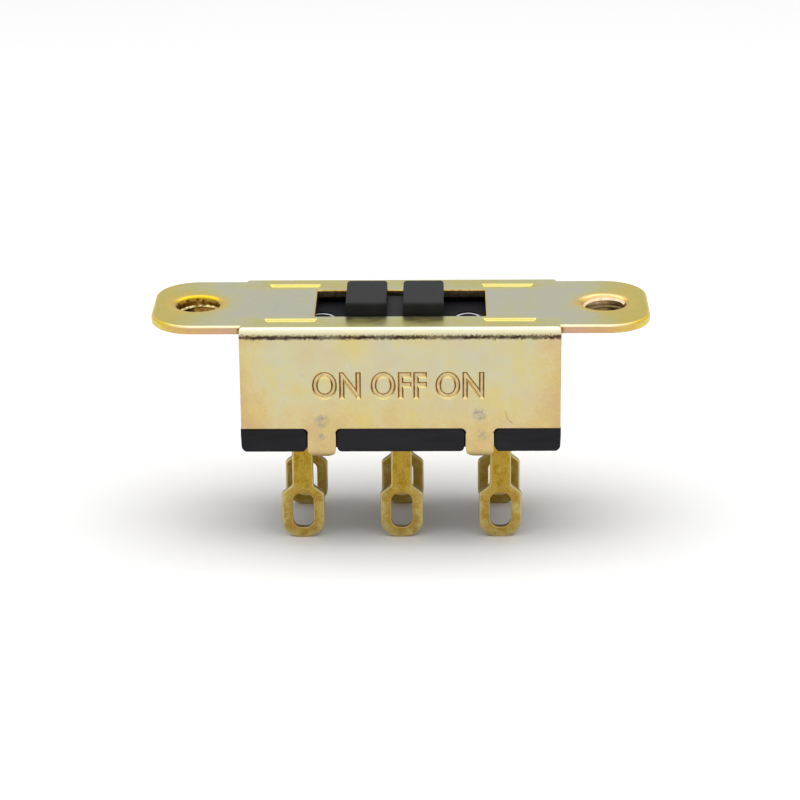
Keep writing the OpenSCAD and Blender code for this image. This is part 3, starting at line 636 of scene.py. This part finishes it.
def makeSlider(finish):
    material, tree, spot = startMaterial("blackMouldedNylon")
    axes = addNode(tree, "ShaderNodeSeparateXYZ", links={0: spot})
    patch = addNode(tree, "ShaderNodeTexNoise", {"Scale": 1 / finish["patch"], "Detail": 4.0},
                    {"Vector": spot}).outputs["Fac"]
    grain = addNode(tree, "ShaderNodeTexNoise", {"Scale": 1 / finish["grain"], "Detail": 2.0},
                    {"Vector": spot})
    shade = addNode(tree, "ShaderNodeValToRGB",
                    {"stops": [(0.3, "#272728"), (0.5, "#2e2e2f"), (0.7, "#353536")]}, {0: patch})
    # the flange down in the slot is painted near black: painted shade
    deep = addNode(tree, "ShaderNodeMapRange", {"From Min": finish["slotShadeFrom"], "From Max": finish["slotShadeTo"]},
                   {"Value": axes.outputs["Z"]})
    shade = addNode(tree, "ShaderNodeMix", {"data_type": "RGBA", 7: "#17161b"},
                    {0: deep.outputs[0], 6: shade.outputs[0]})

    # one whitish ring at each end of the flange: a painted highlight on the rim of each ejector pin mark
    fromMiddle = addNode(tree, "ShaderNodeMath", {"operation": "SUBTRACT", 1: finish["middle"]},
                         {0: axes.outputs["X"]})
    eitherSide = addNode(tree, "ShaderNodeMath", {"operation": "ABSOLUTE"}, {0: fromMiddle.outputs[0]})
    ringX = addNode(tree, "ShaderNodeMath", {"operation": "SUBTRACT", 1: finish["ringPitch"] / 2},
                    {0: eitherSide.outputs[0]})
    ringY = addNode(tree, "ShaderNodeMath", {"operation": "SUBTRACT", 1: finish["ringY"]},
                    {0: axes.outputs["Y"]})
    ringSpot = addNode(tree, "ShaderNodeCombineXYZ", links={"X": ringX.outputs[0], "Y": ringY.outputs[0]})
    ringFar = addNode(tree, "ShaderNodeVectorMath", {"operation": "LENGTH"}, {0: ringSpot.outputs[0]})
    off = addNode(tree, "ShaderNodeMath", {"operation": "SUBTRACT", 1: finish["ringRadius"]},
                  {0: ringFar.outputs["Value"]})
    off = addNode(tree, "ShaderNodeMath", {"operation": "ABSOLUTE"}, {0: off.outputs[0]})
    ring = addNode(tree, "ShaderNodeMapRange", {
        "From Min": finish["ringWide"], "From Max": finish["ringWide"] * 0.5}, {"Value": off.outputs[0]})
    low = addNode(tree, "ShaderNodeMapRange", {
        "From Min": finish["flange"] + finish["flangeFade"], "From Max": finish["flange"]},
        {"Value": axes.outputs["Z"]})
    ring = addNode(tree, "ShaderNodeMath", {"operation": "MULTIPLY"}, {0: ring.outputs[0], 1: low.outputs[0]})
    shade = addNode(tree, "ShaderNodeMix", {"data_type": "RGBA", 7: "#d2d2da"},
                    {0: ring.outputs[0], 6: shade.outputs[2]})
    finishMaterial(tree, finish, {"Specular IOR Level": 0.06}, shade.outputs[2],
                   (grain.outputs["Fac"], 0.5, 0.01), patch)
    return material


# the node's two lumps are cut off at the valley, and raised again from their outlines with a smooth round
bm = copyNode("slider")
cutAt = (knob["valleyFloor"] + knob["cutLift"]) * mm
belowCut = knob["valleyFloor"] + knob["cutLift"] / 2
bmesh.ops.bisect_plane(bm, geom=bm.verts[:] + bm.edges[:] + bm.faces[:], dist=knob["onCut"] * mm,
                       plane_co=(0, 0, cutAt), plane_no=(0, 0, 1), clear_outer=True)
bmesh.ops.remove_doubles(bm, verts=[v for v in bm.verts if v.is_boundary], dist=knob["weld"] * mm)
outlines = bmesh.ops.holes_fill(bm, edges=[e for e in bm.edges if e.is_boundary])["faces"]
raised = bmesh.ops.extrude_face_region(bm, geom=outlines)["geom"]
bmesh.ops.delete(bm, geom=outlines, context="FACES_ONLY")
lumpTops = [g for g in raised if isinstance(g, bmesh.types.BMFace)]
lumpCorners = [g for g in raised if isinstance(g, bmesh.types.BMVert)]
bmesh.ops.translate(bm, verts=lumpCorners, vec=(0, 0, knob["top"] * mm - cutAt))
topEdges = [e for face in lumpTops for e in face.edges]
bmesh.ops.bevel(bm, geom=topEdges, offset=knob["round"] * mm, offset_type="OFFSET",
                segments=knob["roundSteps"], profile=0.5, affect="EDGES", clamp_overlap=False, material=-1)
breakEdges(bm, knob["edge"], knob["edgeSteps"], shortest=knob["shortest"],
           where=lambda a, b: max(a.z, b.z) < belowCut)
addPiece("slidingKnob", bm, [makeSlider(sliderFinish)], "slider", ["slider"])
print("knob moulded")


# half-hard brass, blanked and left to tarnish: dull mottled ochre, with painted highlights round its edges
# and painted shade on its cut sides and on the rear row
lugFinish = {
    "mottle": 0.5, "speck": 0.12, "rough": 0.46, "roughSpread": 0.16,
    "pitch": 7.0, "eyeWide": 1.5, "eyeTall": 2.6, "eyeRound": 0.6, "eyeMiddle": -14.47, "ragged": 1.1,  # mm
    # what is measured, from, to, and the weight there: orange round the eye, khaki at the rim, dark specks,
    # the rear row painted darker as painted shade from the body above it, the rounded edges painted pale as a
    # painted highlight, and the cut sides painted dark as painted shade
    "zones": {
        "low": ("height", -12.4, -14.0, 1.0), "warm": ("eye", 0.4, 0.05, 0.6), "rim": ("eye", 0.4, 0.75, 0.6),
        "dark": ("speck", 0.48, 0.7, 0.32), "rear": ("back", 1.0, 2.5, 0.42),
        "paintedEdgeHighlight": ("flat", 0.98, 0.85, 0.85), "paintedSideShade": ("flat", 0.4, 0.15, 0.9)},
    "tarnishAndLight": [("warm", "#b08630"), ("rim", "#ccbc88"), ("dark", "#6e5620"), ("rear", "#846400"),
              ("paintedEdgeHighlight", "#d8c890"), ("paintedSideShade", "#6a5626")],
}
lugEdge = {
    "wide": 0.18, "eye": 0.07, "steps": 3,  # rounds of the blade and of the eye, mm
    "stemTop": -10, "eyeHalf": 0.8, "eyeLow": -15.9, "eyeHigh": -13.0,  # where each of them is, mm
}


def makeBrass(finish):
    material, tree, spot = startMaterial("tarnishedBrass")
    axes = addNode(tree, "ShaderNodeSeparateXYZ", links={0: spot})
    normal = addNode(tree, "ShaderNodeTexCoord").outputs["Normal"]
    facing = addNode(tree, "ShaderNodeSeparateXYZ", links={0: normal})
    flat = addNode(tree, "ShaderNodeMath", {"operation": "ABSOLUTE"}, {0: facing.outputs["Y"]})
    mottle = addNode(tree, "ShaderNodeTexNoise", {
        "Scale": 1 / finish["mottle"], "Detail": 4.0, "Roughness": 0.65}, {"Vector": spot}).outputs["Fac"]
    speck = addNode(tree, "ShaderNodeTexNoise", {"Scale": 1 / finish["speck"], "Detail": 2.0},
                    {"Vector": spot}).outputs["Fac"]

    # distance from the eye, with a ragged edge
    across = addNode(tree, "ShaderNodeMath", {
        "operation": "WRAP", 1: finish["pitch"] / 2, 2: -finish["pitch"] / 2}, {0: axes.outputs["X"]})
    upward = addNode(tree, "ShaderNodeMath", {"operation": "SUBTRACT", 1: finish["eyeMiddle"]},
                     {0: axes.outputs["Z"]})
    beyond = {}
    for axis, source, size in (("X", across, finish["eyeWide"]), ("Z", upward, finish["eyeTall"])):
        far = addNode(tree, "ShaderNodeMath", {"operation": "ABSOLUTE"}, {0: source.outputs[0]})
        far = addNode(tree, "ShaderNodeMath", {"operation": "SUBTRACT", 1: size / 2 - finish["eyeRound"]},
                      {0: far.outputs[0]})
        beyond[axis] = addNode(tree, "ShaderNodeMath", {"operation": "MAXIMUM", 1: 0.0},
                               {0: far.outputs[0]}).outputs[0]
    eyeSpot = addNode(tree, "ShaderNodeCombineXYZ", links=beyond)
    eyeFar = addNode(tree, "ShaderNodeVectorMath", {"operation": "LENGTH"}, {0: eyeSpot.outputs[0]})
    ragged = addNode(tree, "ShaderNodeMath", {
        "operation": "MULTIPLY_ADD", 1: finish["ragged"],
        2: -finish["ragged"] / 2 - finish["eyeRound"]}, {0: mottle})
    eyeFar = addNode(tree, "ShaderNodeMath", {"operation": "ADD"},
                     {0: eyeFar.outputs["Value"], 1: ragged.outputs[0]})

    measured = {"height": axes.outputs["Z"], "back": axes.outputs["Y"], "flat": flat.outputs[0],
                "speck": speck, "eye": eyeFar.outputs[0]}
    zone = {}
    for name, (source, start, end, most) in finish["zones"].items():
        fade = addNode(tree, "ShaderNodeMapRange", {"From Min": start, "From Max": end, "To Max": most},
                       {"Value": measured[source]})
        zone[name] = fade.outputs[0]
    zone["rim"] = addNode(tree, "ShaderNodeMath", {"operation": "MULTIPLY"},
                          {0: zone["rim"], 1: zone["low"]}).outputs[0]

    stem = addNode(tree, "ShaderNodeValToRGB", {"stops": [
        (0.36, "#9a7a1c"), (0.45, "#ac8c30"), (0.52, "#ba9c42"), (0.58, "#b69630"),
        (0.66, "#c8ae56")]}, {0: mottle})
    lug = addNode(tree, "ShaderNodeValToRGB", {"stops": [
        (0.36, "#a68a40"), (0.45, "#b49a52"), (0.52, "#bca662"), (0.58, "#beaa56"),
        (0.66, "#c8ba7a")]}, {0: mottle})
    shade = addNode(tree, "ShaderNodeMix", {"data_type": "RGBA"},
                    {0: zone["low"], 6: stem.outputs[0], 7: lug.outputs[0]}).outputs[2]
    # tarnish colours, then the painted shade of the rear row, the painted highlight on the edges and the
    # painted shade on the sides
    for name, colour in finish["tarnishAndLight"]:
        shade = addNode(tree, "ShaderNodeMix", {"data_type": "RGBA", 7: colour},
                        {0: zone[name], 6: shade}).outputs[2]
    finishMaterial(tree, finish, {"Metallic": 1.0}, shade, (speck, 0.5, 0.012), mottle)
    return material


def inEye(a, b, middle):
    return (max(abs(a.x - middle), abs(b.x - middle)) < lugEdge["eyeHalf"]
            and lugEdge["eyeLow"] < min(a.z, b.z) and max(a.z, b.z) < lugEdge["eyeHigh"])


brass = makeBrass(lugFinish)
for row in ("front", "rear"):
    for column in ("left", "middle", "right"):
        node = "terminal_" + row + "_" + column
        middle = sum(corner.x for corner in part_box(node)) / 2 / mm
        bm = copyNode(node)
        breakEdges(bm, lugEdge["eye"], lugEdge["steps"],
                   where=lambda a, b: min(a.z, b.z) > lugEdge["stemTop"] or inEye(a, b, middle))
        breakEdges(bm, lugEdge["wide"], lugEdge["steps"],
                   where=lambda a, b: min(a.z, b.z) <= lugEdge["stemTop"] and not inEye(a, b, middle))
        addPiece("lug." + row + "." + column, bm, [brass], "housing", [node])
print("lugs blanked")


# phosphor bronze strip with rolling marks along it, and drawn spring wire with die lines round it
innerFinish = {
    "marks": 0.12,  # mm, coarser than real, so that they show
    "bronze": {"pale": "#c98f52", "dark": "#a06a38", "stretch": (0.06, 1, 1), "rough": 0.34},
    "wire": {"pale": "#b8bbc0", "dark": "#85898f", "stretch": (1, 1, 0.3), "rough": 0.28},
}


def makeInner(name, finish):
    material, tree = newMaterial(name)
    coords = addNode(tree, "ShaderNodeTexCoord")
    spot = addNode(tree, "ShaderNodeMapping", {"Scale": [k / mm for k in finish["stretch"]]},
                   {0: coords.outputs["Object"]})
    marks = addNode(tree, "ShaderNodeTexNoise", {"Scale": 1 / innerFinish["marks"], "Detail": 3.0},
                    {"Vector": spot.outputs[0]}).outputs["Fac"]
    shade = addNode(tree, "ShaderNodeValToRGB", {"stops": [(0.35, finish["dark"]), (0.65, finish["pale"])]},
                    {0: marks})
    finishMaterial(tree, finish, {"Metallic": 1.0, "Roughness": finish["rough"]}, shade.outputs[0],
                   (marks, 0.4, 0.005))
    return material


bronze = makeInner("rolledPhosphorBronze", innerFinish["bronze"])
wire = makeInner("drawnSpringWire", innerFinish["wire"])
for name, material in (("contact_front", bronze), ("contact_rear", bronze),
                       ("spring_front", wire), ("spring_rear", wire)):
    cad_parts[name].data.materials.clear()
    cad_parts[name].data.materials.append(material)
print("contacts and springs finished")


# white table and soft daylight from a big box overhead
studio = {
    "tableHalf": 3.0, "tableWhite": 1.12, "tableBounce": 0.75, "fillLow": 0.19, "fillHigh": 0.62,
    "boxWide": 0.6, "boxDeep": 0.4, "boxUp": 0.42, "boxBack": -0.05, "boxPower": 1.4, "facePower": 1.2,
}
# pale card leaning behind the box, seen only as a reflection in the metal
card = {"wide": 0.6, "deep": 0.22, "back": 0.26, "up": 0.394, "lean": 33, "power": 0.5}


# 1 where the lens sees it, directly, in metal or through glass
def seenByLens(tree):
    path = addNode(tree, "ShaderNodeLightPath")
    seen = path.outputs["Is Camera Ray"]
    for ray in ("Is Glossy Ray", "Is Transmission Ray"):
        seen = addNode(tree, "ShaderNodeMath", {"operation": "MAXIMUM"},
                       {0: seen, 1: path.outputs[ray]}).outputs[0]
    return seen


def addLamp(name, wide, deep, power, place):
    light = bpy.data.lights.new(name, "AREA")
    light.shape = "RECTANGLE"
    light.size = wide
    light.size_y = deep
    light.energy = power
    lamp = bpy.data.objects.new(name, light)
    lamp.matrix_world = place
    scene.collection.objects.link(lamp)
    return lamp


bm = bmesh.new()
bmesh.ops.create_grid(bm, x_segments=1, y_segments=1, size=studio["tableHalf"])
bmesh.ops.translate(bm, verts=bm.verts, vec=(0, 0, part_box("terminal_front_left")[0].z))
tableMesh = bpy.data.meshes.new("whiteTable")
bm.to_mesh(tableMesh)
bm.free()
table = bpy.data.objects.new("whiteTable", tableMesh)
scene.collection.objects.link(table)
material, tree = newMaterial("whitePaper")
tone = addNode(tree, "ShaderNodeMapRange", {"To Min": studio["tableBounce"], "To Max": studio["tableWhite"]},
               {"Value": seenByLens(tree)})
paper = addNode(tree, "ShaderNodeBsdfDiffuse", links={"Color": tone.outputs[0]})
addNode(tree, "ShaderNodeOutputMaterial", links={0: paper.outputs[0]})
tableMesh.materials.append(material)

world = bpy.data.worlds.new("whiteRoom")
scene.world = world
world.use_nodes = True
tree = world.node_tree
tree.nodes.clear()
direction = addNode(tree, "ShaderNodeTexCoord")
height = addNode(tree, "ShaderNodeSeparateXYZ", links={0: direction.outputs["Generated"]})
fill = addNode(tree, "ShaderNodeMapRange", {"To Min": studio["fillLow"], "To Max": studio["fillHigh"]},
               {"Value": height.outputs["Z"]})
power = addNode(tree, "ShaderNodeMapRange", {"To Max": 1.0},
                {"Value": seenByLens(tree), "To Min": fill.outputs[0]})
room = addNode(tree, "ShaderNodeBackground", {"Color": "#ffffff"}, {"Strength": power.outputs[0]})
addNode(tree, "ShaderNodeOutputWorld", links={0: room.outputs[0]})

# the box lights the switch, and the metal sees only its face, which is little brighter than the room
overhead = Matrix.Translation((0, studio["boxBack"], studio["boxUp"]))
leaning = (Matrix.Translation((0, card["back"], card["up"]))
           @ Matrix.Rotation(math.radians(-card["lean"]), 4, "X"))
box = addLamp("softbox", studio["boxWide"], studio["boxDeep"], studio["boxPower"], overhead)
box.visible_glossy = False
boxFace = addLamp("boxFace", studio["boxWide"], studio["boxDeep"], studio["facePower"], overhead)
boxFace.visible_diffuse = False
backCard = addLamp("backCard", card["wide"], card["deep"], card["power"], leaning)
backCard.visible_diffuse = False
print("studio lit")
